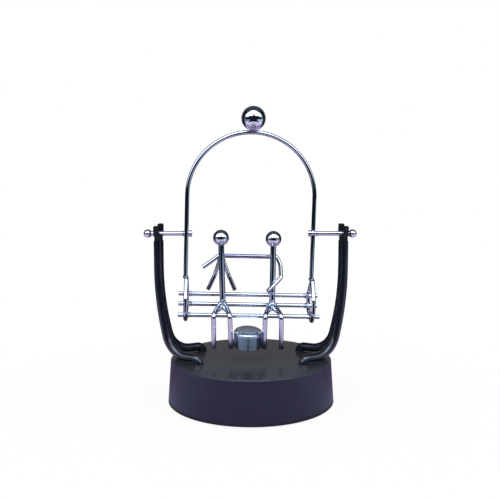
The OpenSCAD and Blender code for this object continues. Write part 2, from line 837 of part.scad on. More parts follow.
// The right fork: shanks in both tubes, a saddle for the axle, an outer front and an inner rear finger
module fork() {
    half_y = arm_pitch / 2 + shank_d / 2;
    low = tube_top_z - axle_z + touch;
    color(black) translate([fork_x, 0, axle_z]) difference() {
        union() {
            for (y = [-arm_pitch / 2, arm_pitch / 2])
                translate([0, y, low - shank_l]) cylinder(d = shank_d, h = shank_l + past);
            block([-saddle_w / 2, -half_y, low], [saddle_w / 2, half_y, 0]);
            translate([finger_shift, 0, 0]) rotate([90, 0, 0])
                linear_extrude(half_y) finger_outline(-saddle_r, front_finger_h);
            translate([-finger_shift, half_y, 0]) rotate([90, 0, 0])
                linear_extrude(half_y) finger_outline(-saddle_r, rear_finger_h);
        }
        rotate([0, 90, 0]) cylinder(r = saddle_r, h = fork_x, center = true);
        block([-fork_x / 2, -saddle_r, 0], [fork_x / 2, saddle_r, rear_finger_h + past]);
    }
}

module fork_right() fork();
module fork_left() mirror([1, 0, 0]) fork();

module arch() {
    color(chrome) on_swing() {
        translate([0, 0, arch_z]) rotate([90, 0, 0]) rotate_extrude(angle = 180)
            translate([arch_r, 0]) circle(d = arch_d + bend_swell);
        for (x = [-arch_r, arch_r])
            bar([x, 0, -arch_drop], [x, 0, arch_z + bend_lap], arch_d);
    }
}

module finial_ball() {
    color(chrome) on_swing() difference() {
        translate([0, 0, finial_z]) sphere(d = finial_d, $fn = 96);
        translate([0, 0, arch_z]) rotate([90, 0, 0]) rotate_extrude(angle = 180)
            translate([arch_r, 0]) circle(d = arch_d + bend_swell + 2 * push_fit);
    }
}

// The right axle stub runs from inside the arch's leg to the ball outside the fork
module axle_stub(side) {
    color(chrome) on_axle(side)
        bar([collar_x - stub_out, 0, 0], [ball_x - axle_ball_d / 2 + ball_socket - touch, 0, 0], axle_d);
}

module axle_ball(side) {
    color(chrome) on_axle(side) translate([ball_x, 0, 0]) difference() {
        sphere(d = axle_ball_d);
        bar([-axle_ball_d, 0, 0], [ball_socket - axle_ball_d / 2, 0, 0], axle_d + 2 * push_fit);
    }
}

module axle_collar(side) {
    color(chrome) on_axle(side) translate([collar_x, 0, 0]) rotate([0, 90, 0])
        ring(collar_d, axle_d + 2 * push_fit, collar_l);
}

module axle_left() axle_stub(-1);
module axle_right() axle_stub(1);
module axle_ball_left() axle_ball(-1);
module axle_ball_right() axle_ball(1);
module axle_collar_left() axle_collar(-1);
module axle_collar_right() axle_collar(1);

// A bench side: a ring of wire bent round the rods' places, hung from the end of the arch's leg
module bench_side(side) {
    stretch = 1 / cos(splay);
    color(chrome) on_swing() translate([side * arch_r, 0, 0]) {
        translate([bench_slide, 0, 0]) rotate([0, 0, side * splay])
            wire_ring([for (p = side_ring) [0, p[0] * stretch, p[1]]], nest_r, bench_d);
        // Weld bead under the leg's end
        translate([0, 0, -arch_drop - touch - bench_d / 2]) cylinder(d = bead_d, h = bench_d / 2);
    }
}

module bench_side_left() bench_side(-1);
module bench_side_right() bench_side(1);

module bench_rod(y, z) {
    color(chrome) on_swing() translate([bench_slide, y, z])
        rotate([0, 90, 0]) cylinder(d = bench_d, h = rod_l, center = true);
}

module back_rod_upper() bench_rod(back_y, -back_drop);
module back_rod_lower() bench_rod(back_y, -low_drop);
module seat_rod() bench_rod(seat_y, seat_z);

// A figure's upright frame at its hips; the torso and head may lean outwards
module at_torso(side, lean) {
    on_swing() translate([side * figure_x, hip_back, -hip_drop]) rotate([0, side * lean, 0]) children();
}

module torso(side, lean) {
    color(chrome) at_torso(side, lean)
        translate([0, 0, torso_z + hip_drop]) cylinder(d = torso_d, h = neck_z - torso_z);
}

module head(side, lean) {
    color(chrome) at_torso(side, lean) difference() {
        translate([0, 0, hip_drop - head_drop]) sphere(d = head_d);
        cylinder(d = torso_d + 2 * push_fit, h = neck_z + hip_drop + touch);
    }
}

module torso_left() torso(-1, left_torso_lean);
module torso_right() torso(1, -right_torso_lean);
module head_left() head(-1, left_torso_lean);
module head_right() head(1, -right_torso_lean);

// Both legs of a figure are one wire: inner foot, knee, hips, outer knee, foot.
// The inner shin rests against the can, with its knee this far out of line
module legs(side, knees_out) {
    knee_in = shin_x + knees_out;
    knee_out = knee_in + knee_gap;
    foot_in = shin_x - knees_out * (shin_l / (can_drop + can_h / 2) - 1);
    foot_out = foot_in + knee_gap + feet_spread;
    function knee_at(x) = [side * x, -knee_front, knee_z];
    color(chrome) on_swing() bent_wire([
        knee_at(foot_in) + shin_dir * shin_l,
        knee_at(knee_in),
        [side * figure_x, crotch[1], crotch[2]],
        knee_at(knee_out),
        knee_at(foot_out) + shin_dir * shin_l,
    ], [knee_r, crotch_r, knee_r], leg_d);
}

module legs_left() legs(-1, left_knees_out);
module legs_right() legs(1, 0);

module arms_wire() {
    color(chrome) on_swing() bent_wire(arm_points, arm_bends, arm_d);
}

module plaits() {
    color(chrome) on_swing() {
        for (points = plait_points) bent_wire(points, [plait_bend], arm_d);
        translate(plait_top) sphere(d = arm_d + bend_swell);
    }
}

// The can stands between the inner shins, which touch it on both sides
module in_can() {
    on_swing() translate(can_mid) rotate([can_tilt, 0, 0]) translate([0, 0, -can_h / 2]) children();
}

// Half the section of a round body from height low to height high, with a rounded upper edge
module capped(r, low, high, edge) {
    polygon(concat(
        [[0, low], [r, low]],
        arc_points([r - edge, high - edge], edge, 0, 90, edge_steps),
        [[0, high]]));
}

// A drawn cup, open downwards, with one wall thickness round its upper edge
module magnet_can() {
    r = can_d / 2;
    color(chrome) in_can() rotate_extrude() difference() {
        intersection() {
            capped(r, 0, can_h, can_round);
            // The mouth's edge is broken
            polygon([[0, 0], [r - can_edge, 0], [r, can_edge], [r, can_h], [0, can_h]]);
        }
        capped(r - can_wall, -past, can_h - can_wall, can_round - can_wall);
    }
}

module magnet_disc() {
    color("#55565a") in_can() rotate_extrude()
        capped(can_d / 2 - can_wall - push_fit, disc_sunk, can_h - can_wall - touch, can_round - can_wall);
}

module foot_front() foot(-90);
module foot_rear() foot(90);
module foot_left() foot(180);
module foot_right() foot(0);
module cell_1() cell(1);
module cell_2() cell(2);
module cell_3() cell(3);
module cell_4() cell(4);

base_housing();
bottom_cover();
battery_door();
foot_front();
foot_rear();
foot_left();
foot_right();
cell_1();
cell_2();
cell_3();
cell_4();
contact_strips();
contact_springs();
coil_bobbin();
coil_winding();
coil_core();
circuit_board();
transistor();
capacitor();
resistors();
board_screws();
cover_screws();
tube_clips();
battery_leads();
coil_leads();
arm_front_left();
arm_rear_left();
arm_front_right();
arm_rear_right();
fork_left();
fork_right();
arch();
finial_ball();
axle_left();
axle_right();
axle_ball_left();
axle_ball_right();
axle_collar_left();
axle_collar_right();
bench_side_left();
bench_side_right();
back_rod_upper();
back_rod_lower();
seat_rod();
head_left();
head_right();
torso_left();
torso_right();
legs_left();
legs_right();
arms_wire();
plaits();
magnet_can();
magnet_disc();
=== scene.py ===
"""Looks of the swing toy: chrome wire figures on a bench in an arch, above a black battery base.

Every length is in metres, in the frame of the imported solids: X along the axle, -Y the front, Z up.
"""

import json
import math

import bpy
import numpy as np
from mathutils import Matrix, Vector


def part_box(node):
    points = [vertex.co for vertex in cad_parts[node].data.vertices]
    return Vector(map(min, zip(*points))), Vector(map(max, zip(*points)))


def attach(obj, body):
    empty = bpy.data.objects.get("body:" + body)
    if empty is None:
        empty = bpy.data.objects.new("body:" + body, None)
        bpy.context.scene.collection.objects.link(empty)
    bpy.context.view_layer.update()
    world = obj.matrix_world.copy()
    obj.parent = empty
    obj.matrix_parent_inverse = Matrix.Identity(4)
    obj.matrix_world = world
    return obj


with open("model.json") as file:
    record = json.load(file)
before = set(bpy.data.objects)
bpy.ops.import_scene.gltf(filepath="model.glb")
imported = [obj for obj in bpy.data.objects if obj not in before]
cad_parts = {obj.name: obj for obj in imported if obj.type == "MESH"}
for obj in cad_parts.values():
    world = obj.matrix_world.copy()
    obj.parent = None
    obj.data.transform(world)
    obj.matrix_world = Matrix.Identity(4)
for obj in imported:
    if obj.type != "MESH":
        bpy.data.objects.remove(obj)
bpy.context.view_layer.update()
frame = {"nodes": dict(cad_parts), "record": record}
nodes = frame["nodes"]
scene = bpy.context.scene
MM = 0.001

# Camera: a little above the arms' forks, half a metre in front of the axle, and looking slightly down
camera_place = (-0.0007, -0.492, 0.163)
camera_down = 6.19  # degrees
camera_data = bpy.data.cameras.new("camera")
camera_data.sensor_width = 36.0
camera_data.lens = 49.79
camera = bpy.data.objects.new("camera", camera_data)
camera.location = camera_place
camera.rotation_euler = (math.radians(90.0 - camera_down), 0.0, 0.0)
scene.collection.objects.link(camera)
scene.camera = camera


class Number:
    """A number that varies over a surface. Arithmetic on it adds Math nodes to its finish."""

    def __init__(self, finish, socket):
        self.finish = finish
        self.socket = socket

    def __add__(self, other):
        return self.finish.math("ADD", self, other)

    def __sub__(self, other):
        return self.finish.math("SUBTRACT", self, other)

    def __rsub__(self, other):
        return self.finish.math("SUBTRACT", other, self)

    def __mul__(self, other):
        return self.finish.math("MULTIPLY", self, other)

    def __truediv__(self, other):
        return self.finish.math("DIVIDE", self, other)

    def __rtruediv__(self, other):
        return self.finish.math("DIVIDE", other, self)

    def __neg__(self):
        return self.finish.math("SUBTRACT", 0.0, self)

    def __abs__(self):
        return self.finish.math("ABSOLUTE", self)

    __radd__ = __add__
    __rmul__ = __mul__


class Finish:
    """A node tree that is filled by expressions: one for each material, and one for the world."""

    def __init__(self, tree):
        self.tree = tree
        self.tree.nodes.clear()

    def node(self, kind, settings=None, values=None, out=0):
        """One node: its settings are set first, then the values or links of its sockets."""
        made = self.tree.nodes.new(kind)
        for name, value in (settings or {}).items():
            setattr(made, name, value)
        for name, value in (values or {}).items():
            self.plug(made.inputs[name], value)
        return Number(self, made.outputs[out]) if made.outputs else None

    def plug(self, socket, value):
        if isinstance(value, Number):
            self.tree.links.new(value.socket, socket)
        else:
            socket.default_value = value

    def math(self, operation, *values):
        return self.node("ShaderNodeMath", {"operation": operation}, dict(enumerate(values)))

    def most(self, a, b):
        return self.math("MAXIMUM", a, b)

    def length(self, a, b):
        """How far a point at a and b along two axes is from where they cross."""
        return self.math("SQRT", a * a + b * b)

    def vector(self, operation, *values):
        return self.node("ShaderNodeVectorMath", {"operation": operation}, dict(enumerate(values)))

    def coords(self, place=(0, 0, 0), turn=(0, 0, 0), scale=(1, 1, 1)):
        """Object coordinates, seen from a frame at the given place and turn, and then scaled."""
        seen = self.node("ShaderNodeTexCoord", out="Object")
        if tuple(place) != (0, 0, 0):
            seen = self.vector("SUBTRACT", seen, tuple(place))
        if tuple(turn) != (0, 0, 0):
            seen = self.node("ShaderNodeVectorRotate", {"rotation_type": "EULER_XYZ", "invert": True},
                             {"Vector": seen, "Rotation": tuple(turn)})
        return self.vector("MULTIPLY", seen, scale) if scale != (1, 1, 1) else seen

    def parts(self, vector):
        """The three numbers of a vector."""
        split = self.node("ShaderNodeSeparateXYZ", values={"Vector": vector}).socket.node
        return [Number(self, out) for out in split.outputs]

    def along(self, axis):
        """Where a point of the surface is along the frame's axis x, y or z."""
        return self.parts(self.coords())["xyz".index(axis)]

    def ray(self, kind):
        """1 for the rays of the named kind, such as Is Camera Ray, and 0 for the others."""
        return self.node("ShaderNodeLightPath", out=kind)

    def fade(self, value, low, high, start=0.0, end=1.0):
        """A smooth step: start where the value is under low, end where it is over high."""
        return self.node("ShaderNodeMapRange", {"interpolation_type": "SMOOTHSTEP"}, {
            "Value": value, "From Min": low, "From Max": high, "To Min": start, "To Max": end})

    def under(self, value, low, high):
        """A smooth step down: 1 where the value is under low, 0 where it is over high."""
        return self.fade(value, low, high, 1.0, 0.0)

    def band(self, value, low, high, soft):
        """1 between low and high, 0 outside, with edges as wide as soft."""
        return self.fade(value, low, low + soft) * self.under(value, high - soft, high)

    def wave(self, value, pitch):
        """From 0 to 1 and back with the given pitch, as a sine."""
        return self.math("SINE", value * (2.0 * math.pi / pitch)) * 0.5 + 0.5

    def noise(self, coords, scale, detail=4.0, rough=0.55):
        """Fractal noise from 0 to 1 with the given number of features to the metre."""
        return self.node("ShaderNodeTexNoise", {}, {
            "Vector": coords, "Scale": scale, "Detail": detail, "Roughness": rough})

    def patches(self, coords, scale, low, high, detail=4.0, rough=0.55):
        """Soft-edged patches: 0 where the noise is under low, 1 where it is over high."""
        return self.fade(self.noise(coords, scale, detail, rough), low, high)

    def cells(self, coords, scale, feature="F1"):
        """Distance to the nearest of scattered points, with the given number of points to the metre."""
        return self.node("ShaderNodeTexVoronoi", {"feature": feature}, {"Vector": coords, "Scale": scale})

    def specks(self, coords, scale, core, reach):
        """Round specks at scattered points: 1 up to core from each point, 0 past reach."""
        return self.under(self.cells(coords, scale), core, reach)

    def dust(self, coords, amount=0.5):
        """Sparse specks of dust, about half a millimetre apart."""
        return self.specks(coords, 1800.0, 0.05, 0.14) * self.patches(coords, 60.0, 0.45, 0.7, 2.0) * amount

    def mix(self, share, a, b):
        """A colour between a and b: a where the share is 0, b where it is 1."""
        return self.node("ShaderNodeMix", {"data_type": "RGBA"}, {0: share, 6: a, 7: b}, out=2)

    def bump(self, height, depth, strength=1.0, normal=None):
        """Shades a surface as if it stood out by height times depth, in metres."""
        values = {"Height": height, "Distance": depth, "Strength": strength}
        if normal:
            values["Normal"] = normal
        return self.node("ShaderNodeBump", {}, values)


def colour(red, green, blue):
    return (red, green, blue, 1.0)


def darker(tint, share):
    return tuple(part * share for part in tint[:3]) + (1.0,)


def material(name, build, **fixed):
    """A material with one shader: build gives its varying inputs, fixed holds the constant ones."""
    made = bpy.data.materials.new(name)
    made.use_nodes = True
    finish = Finish(made.node_tree)
    values = {key.replace("_", " "): value for key, value in fixed.items()}
    values.update(build(finish))
    shader = finish.node("ShaderNodeBsdfPrincipled", {}, values)
    finish.node("ShaderNodeOutputMaterial", {}, {"Surface": shader})
    return made


# Where things are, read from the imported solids
def points(name):
    """A node's corners, as an array of places."""
    mesh = nodes[name].data
    flat = np.empty(len(mesh.vertices) * 3)
    mesh.vertices.foreach_get("co", flat)
    return flat.reshape(-1, 3)


def unit(vector):
    return vector / np.linalg.norm(vector)


def main_axis(name, order=0):
    """Direction in which a node is longest, or with order 2 the one in which it is shortest."""
    cloud = points(name)
    return np.linalg.svd(cloud - cloud.mean(axis=0), full_matrices=False)[2][order]


def ends(name):
    """Centres of the two ends of a straight bar, the lower or left one first."""
    cloud, along = points(name), main_axis(name)
    along = along * np.sign(along[np.argmax(np.abs(along))])
    reach = cloud @ along
    return [cloud[np.abs(reach - limit) < 0.2 * MM].mean(axis=0) for limit in (reach.min(), reach.max())]


def onto_bar(place, name):
    """The point on a straight bar's middle line that lies nearest to a place."""
    low, high = ends(name)
    along = unit(high - low)
    return low + along * ((place - low) @ along)


def near_bar(name, bar, reach):
    """Middle of those corners of a node that lie within reach of a straight bar's middle line."""
    low, high = ends(bar)
    along = unit(high - low)
    cloud = points(name)
    off = cloud - low
    off = off - np.outer(off @ along, along)
    return cloud[np.linalg.norm(off, axis=1) < reach].mean(axis=0)


def turn_to(axis):
    """Turn that brings Z onto an axis."""
    return tuple(Vector(axis).to_track_quat("Z", "Y").to_euler())


can_axis = main_axis("magnet_can", 2)
can_axis = can_axis * np.sign(can_axis[2])
can_place = points("magnet_disc").mean(axis=0)
axle_z = np.mean(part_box("axle_left"), axis=0)[2]
base_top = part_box("base_housing")[1][2]
plait_bend_z = axle_z - 31.4 * MM
cell_mid = points("cell_1").mean(axis=0)
resistor_mid = np.mean(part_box("resistors"), axis=0)
capacitor_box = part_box("capacitor")
board_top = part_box("circuit_board")[1][2]


# Finishes of the pieces that show
def wire_plating(f):
    """Bright plating on drawn wire: an almost even mirror with faint draw lines, smears and dust."""
    at = f.coords()
    smears = f.patches(at, 90.0, 0.42, 0.68, 5.0, 0.6)
    scratches = f.patches(f.coords(scale=(1, 1, 9)), 900.0, 0.60, 0.74, 3.0, 0.7)
    dust = f.dust(at)
    return {
        "Base Color": f.mix(smears * 0.6 + dust * 0.3, colour(0.66, 0.68, 0.73), colour(0.50, 0.52, 0.60)),
        "Roughness": 0.04 + 0.05 * smears + 0.05 * scratches + 0.2 * dust,
        "Normal": f.bump(f.noise(at, 220.0, 2.0, 0.4), 4e-6, normal=f.bump(scratches, 1e-6, 0.4)),
    }


def arm_plating(f):
    """The wire's plating, browned to a dull purple on the stretch between the two torsos."""
    inputs = wire_plating(f)
    left, right = (points("torso_" + side).mean(axis=0)[0] for side in ("left", "right"))
    uneven = f.fade(f.noise(f.coords(), 120.0, 4.0), 0.2, 0.6, 0.7, 1.0)
    browned = f.band(f.along("x"), left, right, 3.0 * MM) * uneven
    inputs["Base Color"] = f.mix(browned, inputs["Base Color"], colour(0.30, 0.27, 0.36))
    inputs["Roughness"] = inputs["Roughness"] + 0.12 * browned
    return inputs


def painted_dark_below(low, high, share, tint):
    """The wire's plating, with a painted dark reflection mixed in by the given share under the height low
    and not at all over high.
    """
    def build(f):
        inputs = wire_plating(f)
        ragged = f.along("z") + 3.0 * MM * (f.noise(f.coords(), 260.0, 4.0) - 0.5)
        # The share of painted dark reflection: full below low, none above high
        stained = f.fade(ragged, low, high, share, 0.0)
        inputs["Base Color"] = f.mix(stained, inputs["Base Color"], tint)
        inputs["Roughness"] = inputs["Roughness"] + 0.06 * stained
        return inputs
    return build


def plait_plating(f):
    """The wire's plating: rougher and with a painted highlight above the bends of the plaits, and a painted
    dark reflection below them.
    """
    # Painted dark reflection below the bends
    below = painted_dark_below(plait_bend_z - 2.0 * MM, plait_bend_z + 0.2 * MM, 0.85, colour(0.16, 0.16, 0.20))
    inputs = below(f)
    # Painted highlight above the bends, which also makes the wire rougher there
    painted_highlight_above = f.fade(f.along("z"), plait_bend_z, plait_bend_z + 1.5 * MM)
    inputs["Base Color"] = f.mix(painted_highlight_above * 0.9, inputs["Base Color"], colour(0.93, 0.94, 0.97))
    inputs["Roughness"] = inputs["Roughness"] + 0.30 * painted_highlight_above
    return inputs


def ball_plating(f):
    """Polished ball: a mirror with a few pits and a trace of orange peel."""
    at = f.coords()
    pits = f.specks(at, 420.0, 0.04, 0.10) * f.patches(at, 200.0, 0.50, 0.62, 2.0)
    haze = f.patches(at, 140.0, 0.45, 0.75, 4.0, 0.6)
    dust = f.dust(at, 0.4)
    return {
        "Base Color": f.mix(haze * 0.4 + pits * 0.6, colour(0.84, 0.85, 0.89), colour(0.60, 0.62, 0.68)),
        "Roughness": 0.025 + 0.035 * haze + 0.25 * pits + 0.2 * dust,
        "Normal": f.bump(f.noise(at, 260.0, 2.0, 0.4), 6e-6, normal=f.bump(1 - pits, 8e-6, 0.5)),
    }


def can_plating(f):
    """Turned side with fine lines round it and a bluer tint as painted reflection, a rim darkened as painted
    shade, and a duller flat top that is only smeared.
    """
    at = f.coords(can_place, turn_to(can_axis))
    x, y, z = f.parts(at)
    edge = f.length(x, y)
    side = f.fade(edge, 9.0 * MM, 10.0 * MM)
    rim = f.band(edge, 7.4 * MM, 9.8 * MM, 0.8 * MM)
    flat = f.under(edge, 6.8 * MM, 7.8 * MM)
    round_it = f.node("ShaderNodeCombineXYZ", {}, {"X": z * 26.0, "Y": edge * 2.0})
    lines = f.noise(round_it, 140.0, 5.0, 0.8)
    smears = f.patches(at, 150.0, 0.40, 0.70, 5.0, 0.6)
    stained = f.fade(lines, 0.35, 0.65, 0.8, 0.0) * side + smears * 0.3
    # Painted reflection: the side's tint is bluer than the top's
    tint = f.mix(side, colour(0.74, 0.75, 0.77), colour(0.56, 0.68, 0.80))
    # Painted shade: the rim's tint is darker, which dims its reflection
    tint = f.mix(rim * 0.6, tint, colour(0.42, 0.40, 0.45))
    return {
        "Base Color": f.mix(stained, tint, colour(0.32, 0.40, 0.50)),
        "Roughness": 0.20 + 0.03 * side + 0.13 * flat + 0.02 * smears,
        "Normal": f.bump(side * lines, 1.4e-5),
    }


def moulded_base(f):
    """Satin moulding: smoother on the top face, with a fine grain and faint flow marks. Its colour holds
    painted light: navy on the side and grey on the top as painted reflections, warmer towards the back of
    the top, a painted highlight along the top rim and painted shade at the foot.
    """
    at = f.coords()
    y, z = f.along("y"), f.along("z")
    on_top = f.fade(z, base_top - 0.5 * MM, base_top - 0.1 * MM)
    rim = f.band(z, base_top - 1.0 * MM, base_top + 0.1 * MM, 0.3 * MM)
    # The foot is painted darker as shade, and made rougher
    painted_foot_shade = f.under(z, 2.0 * MM, 3.4 * MM)
    flow = f.noise(f.coords(scale=(1, 1, 0.3)), 45.0, 5.0, 0.6)
    mottle = f.noise(at, 260.0, 4.0, 0.6)
    grain = f.noise(at, 5200.0, 3.0, 0.6)
    # Painted reflection: one plastic in two tints, navy on the side and a lighter grey on the top
    side = f.mix(mottle * 0.6, colour(0.0072, 0.0074, 0.0236), colour(0.0108, 0.0104, 0.0290))
    # Painted reflection: the top turns warmer towards the back
    painted_warm_reflection = f.fade(y + 30.0 * MM * (flow - 0.5), -30.0 * MM, 20.0 * MM)
    top = f.mix(mottle * 0.7 + flow * 0.3, colour(0.0185, 0.0235, 0.0300), colour(0.0240, 0.0300, 0.0380))
    top = f.mix(painted_warm_reflection, top, colour(0.0290, 0.0270, 0.0275))
    tint = f.mix(on_top, side, top)
    # Painted shade darkens the foot of the side
    tint = f.mix(painted_foot_shade * 0.85, tint, colour(0.002, 0.002, 0.006))
    # Painted highlight along the top rim, mixed with a little dust
    tint = f.mix(rim * 0.35 + f.dust(at) * 0.04, tint, colour(0.06, 0.07, 0.10))
    rough = 0.46 + 0.3 * painted_foot_shade - 0.29 * on_top + 0.10 * (flow - 0.5) + 0.06 * (mottle - 0.5)
    return {"Base Color": tint, "Roughness": rough, "Normal": f.bump(grain, 3e-6, 0.6)}


def tube_lacquer(f):
    """Sprayed black lacquer: glossy, with orange peel, a few rubbed spots and dust."""
    at = f.coords()
    rubbed = f.patches(at, 110.0, 0.50, 0.72, 5.0, 0.65)
    dust = f.dust(at)
    tint = f.mix(rubbed * 0.6, colour(0.0040, 0.0060, 0.0140), colour(0.0075, 0.0098, 0.0210))
    return {
        "Base Color": f.mix(dust * 0.12, tint, colour(0.09, 0.09, 0.10)),
        "Roughness": 0.33 + 0.10 * rubbed + 0.2 * dust,
        "Normal": f.bump(f.noise(at, 700.0, 3.0, 0.5), 4e-6, 0.6),
    }


def fork_moulding(f):
    """Moulded fork: slightly duller than the tubes, with faint flow lines and rubbed spots."""
    at = f.coords()
    flow = f.noise(f.coords(scale=(1, 1, 0.25)), 500.0, 4.0, 0.6)
    grain = f.noise(at, 4200.0, 3.0)
    rubbed = f.patches(at, 300.0, 0.52, 0.70)
    tint = f.mix(flow * 0.6 + rubbed * 0.3, colour(0.0080, 0.0085, 0.0130), colour(0.0180, 0.0190, 0.0230))
    return {
        "Base Color": tint,
        "Roughness": 0.24 + 0.16 * rubbed,
        "Normal": f.bump(grain, 4e-6, 0.7, f.bump(flow, 1.2e-5, 0.5)),
    }


def plated_weld(f):
    """Weld metal under the same plating as the wire: softly rippled, duller, stained in patches."""
    at = f.coords()
    stain = f.patches(at, 380.0, 0.48, 0.72, 4.0, 0.6)
    dust = f.dust(at)
    return {
        "Base Color": f.mix(stain * 0.7 + dust * 0.2, colour(0.50, 0.53, 0.59), colour(0.28, 0.30, 0.37)),
        "Roughness": 0.20 + 0.14 * stain + 0.2 * dust,
        "Normal": f.bump(f.noise(at, 420.0, 2.0, 0.45), 2e-5, 0.8),
    }


# Finishes of the pieces inside the base and under it
def plain(tint, rough, grain=3000.0, depth=4e-6, spread=0.25):
    """A small part's finish: a fine grain, and colour and roughness mottled 12 times as coarsely."""
    def build(f):
        at = f.coords()
        mottle = f.noise(at, grain / 12.0, 4.0)
        return {
            "Base Color": f.mix(mottle, darker(tint, 1.0 - spread), tint),
            "Roughness": rough + 0.12 * (mottle - 0.5),
            "Normal": f.bump(f.noise(at, grain, 3.0), depth),
        }
    return build


def rolled(tint, along, rough=0.26):
    """Rolled or drawn metal: fine lines along one axis and stains."""
    def build(f):
        stretch = tuple(0.04 if axis == along else 1.0 for axis in "xyz")
        lines = f.noise(f.coords(scale=stretch), 4000.0, 4.0, 0.7)
        stain = f.patches(f.coords(), 350.0, 0.45, 0.70, 4.0, 0.6)
        return {
            "Base Color": f.mix(stain * 0.7, tint, darker(tint, 0.6)),
            "Roughness": rough + 0.14 * stain + 0.08 * lines,
            "Normal": f.bump(lines, 6e-6),
        }
    return build


def cell_sleeve(f):
    """Plain wrapped sleeve with its overlap seam; bare steel at both ends."""
    y, z = f.along("y"), f.along("z")
    steel = f.fade(abs(y), 22.9 * MM, 23.1 * MM)
    seam = f.band(z, cell_mid[2] + 2.0 * MM, cell_mid[2] + 2.3 * MM, 0.1 * MM)
    wrap = f.noise(f.coords(scale=(1, 0.1, 1)), 900.0, 4.0)
    scuff = f.patches(f.coords(), 220.0, 0.52, 0.70, 5.0, 0.7)
    sleeve = f.mix(wrap * 0.5 + scuff * 0.3, colour(0.20, 0.26, 0.33), colour(0.34, 0.40, 0.47))
    sleeve = f.mix(seam * 0.6, sleeve, colour(0.08, 0.11, 0.15))
    return {
        "Base Color": f.mix(steel, sleeve, colour(0.62, 0.62, 0.60)),
        "Roughness": 0.28 + 0.12 * scuff,
        "Metallic": steel,
        "Normal": f.bump(wrap, 6e-6),
    }


def winding(f):
    """Enamelled wire: layer on layer of fine turns."""
    turns = f.wave(f.along("z"), 0.3 * MM)
    layer = f.noise(f.coords(scale=(1, 1, 6)), 900.0, 4.0)
    return {
        "Base Color": f.mix(turns * 0.7 + layer * 0.3, colour(0.22, 0.07, 0.025), colour(0.62, 0.26, 0.10)),
        "Roughness": 0.24 + 0.12 * layer,
        "Normal": f.bump(turns, 8e-5, 0.9),
    }


def board_laminate(f):
    """Lacquered laminate: raised copper runs under green mask, over a faint weave of glass."""
    x, y, z = f.parts(f.coords())
    from_run = f.cells(f.coords(scale=(1, 1, 0)), 260.0, "DISTANCE_TO_EDGE")
    runs = f.under(from_run, 0.06, 0.10)
    weave = f.wave(x + z, 0.5 * MM) * f.wave(y + z, 0.5 * MM)
    green = f.mix(runs, colour(0.018, 0.13, 0.045), colour(0.04, 0.23, 0.08))
    return {
        "Base Color": f.mix(weave * 0.25, green, colour(0.10, 0.26, 0.10)),
        "Roughness": 0.30 + 0.10 * weave,
        "Normal": f.bump(runs, 4e-5, 0.8, f.bump(weave, 5e-6)),
    }


def resistor_bands(f):
    """Lacquered bodies with four colour bands; the bent leads are tinned wire."""
    from_mid = f.along("x") - resistor_mid[0]
    body = f.under(abs(from_mid), 3.0 * MM, 3.1 * MM)
    grain = f.noise(f.coords(), 1500.0, 3.0)
    tint = f.mix(grain, colour(0.42, 0.31, 0.17), colour(0.58, 0.45, 0.27))
    band_width, band_edge = 0.6 * MM, 0.05 * MM
    bands = ((-1.9 * MM, colour(0.12, 0.04, 0.015)), (-0.9 * MM, colour(0.012, 0.012, 0.012)),
             (0.1 * MM, colour(0.45, 0.02, 0.015)), (1.7 * MM, colour(0.45, 0.27, 0.06)))
    for start, paint in bands:
        tint = f.mix(f.band(from_mid, start, start + band_width, band_edge), tint, paint)
    return {
        "Base Color": f.mix(body, colour(0.60, 0.60, 0.58), tint),
        "Roughness": 0.24 + 0.10 * grain,
        "Metallic": 1 - body,
        "Normal": f.bump(grain, 8e-6),
    }


def capacitor_sleeve(f):
    """Shrunk sleeve with a pale stripe on one side; its crimped top and its leads are bare metal."""
    (left, front, _), (_, rear, top) = capacitor_box
    x, y, z = f.parts(f.coords())
    cap = f.fade(z, top - 0.15 * MM, top - 0.05 * MM)
    leads = f.under(z, board_top + 0.1 * MM, board_top + 0.2 * MM)
    bare = f.most(cap, leads)
    middle, half_stripe = (front + rear) / 2, 0.9 * MM
    stripe = f.band(y, middle - half_stripe, middle + half_stripe, 0.1 * MM)
    stripe = stripe * f.under(x, left + 0.6 * MM, left + 0.9 * MM)
    creases = f.noise(f.coords(scale=(1, 1, 0.15)), 2400.0, 4.0)
    sleeve = f.mix(creases * 0.5, colour(0.016, 0.022, 0.060), colour(0.035, 0.045, 0.110))
    sleeve = f.mix(stripe, sleeve, colour(0.42, 0.44, 0.48))
    return {
        "Base Color": f.mix(bare, sleeve, colour(0.66, 0.66, 0.67)),
        "Roughness": 0.26 + 0.12 * creases,
        "Metallic": bare,
        "Normal": f.bump(creases, 1e-5),
    }


def lead_sleeve(f):
    """Soft insulation: the lead from the left contact is red, the other black. A slanting line that runs
    between the two leads parts them."""
    slant, parting = 1.32, 39.1 * MM
    black = f.fade(f.along("x") + slant * f.along("y"), parting - 0.2 * MM, parting + 0.2 * MM)
    soft = f.noise(f.coords(), 1200.0, 4.0)
    red = f.mix(soft, colour(0.25, 0.018, 0.014), colour(0.38, 0.035, 0.025))
    dark = f.mix(soft, colour(0.010, 0.010, 0.011), colour(0.022, 0.022, 0.024))
    return {
        "Base Color": f.mix(black, red, dark),
        "Roughness": 0.42 + 0.14 * soft,
        "Normal": f.bump(soft, 1.2e-5),
    }


def foot_rubber(f):
    """Soft rubber: matt and finely pitted, dusty where it stands."""
    at = f.coords()
    pits = f.specks(at, 2600.0, 0.10, 0.25)
    worn = f.under(f.along("z"), 0.1 * MM, 0.9 * MM) * f.noise(at, 500.0, 4.0)
    return {
        "Base Color": f.mix(worn * 0.7, colour(0.016, 0.016, 0.018), colour(0.075, 0.072, 0.070)),
        "Roughness": 0.72 + 0.12 * worn,
        "Normal": f.bump(1 - pits, 1.5e-5, 0.7),
    }


